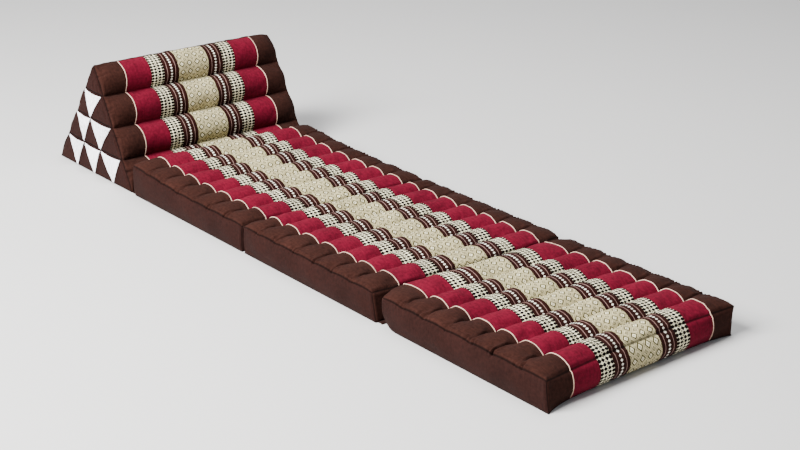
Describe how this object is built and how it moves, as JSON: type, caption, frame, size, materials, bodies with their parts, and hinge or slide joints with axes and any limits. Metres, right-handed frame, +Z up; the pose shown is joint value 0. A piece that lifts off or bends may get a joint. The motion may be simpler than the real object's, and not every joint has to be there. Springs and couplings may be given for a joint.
{
  "type": "thai triangle cushion",
  "caption": "Triangle-shaped back cushion with a fold-out mattress of joined mats, sewn into firm rolls, opened out flat on the floor to sit or lie on.",
  "frame": {"origin": "middle of the footprint, on the floor", "axes": "+X along the mattress from the triangle cushion to the foot end, +Y across it to the left of a person looking from the cushion to the foot, +Z up"},
  "size_m": [1.7211, 0.5236, 0.2825],
  "materials": {
    "cover_cotton": "matt woven cotton, dark brown with woven crimson, cream and black bands",
    "light_cotton": "matt cotton, cream piping and white patches"
  },
  "bodies": {
    "root": {"triangle_cushion": "cover_cotton", "mat_1": "cover_cotton", "mat_2": "cover_cotton", "mat_3": "cover_cotton", "triangle_piping_left": "light_cotton", "triangle_piping_right": "light_cotton", "mat_1_piping_left": "light_cotton", "mat_1_piping_right": "light_cotton", "mat_2_piping_left": "light_cotton", "mat_2_piping_right": "light_cotton", "mat_3_piping_left": "light_cotton", "mat_3_piping_right": "light_cotton", "fold_strip_1": "cover_cotton", "fold_strip_2": "cover_cotton", "fold_strip_3": "cover_cotton"}
  },
  "joints": []
}
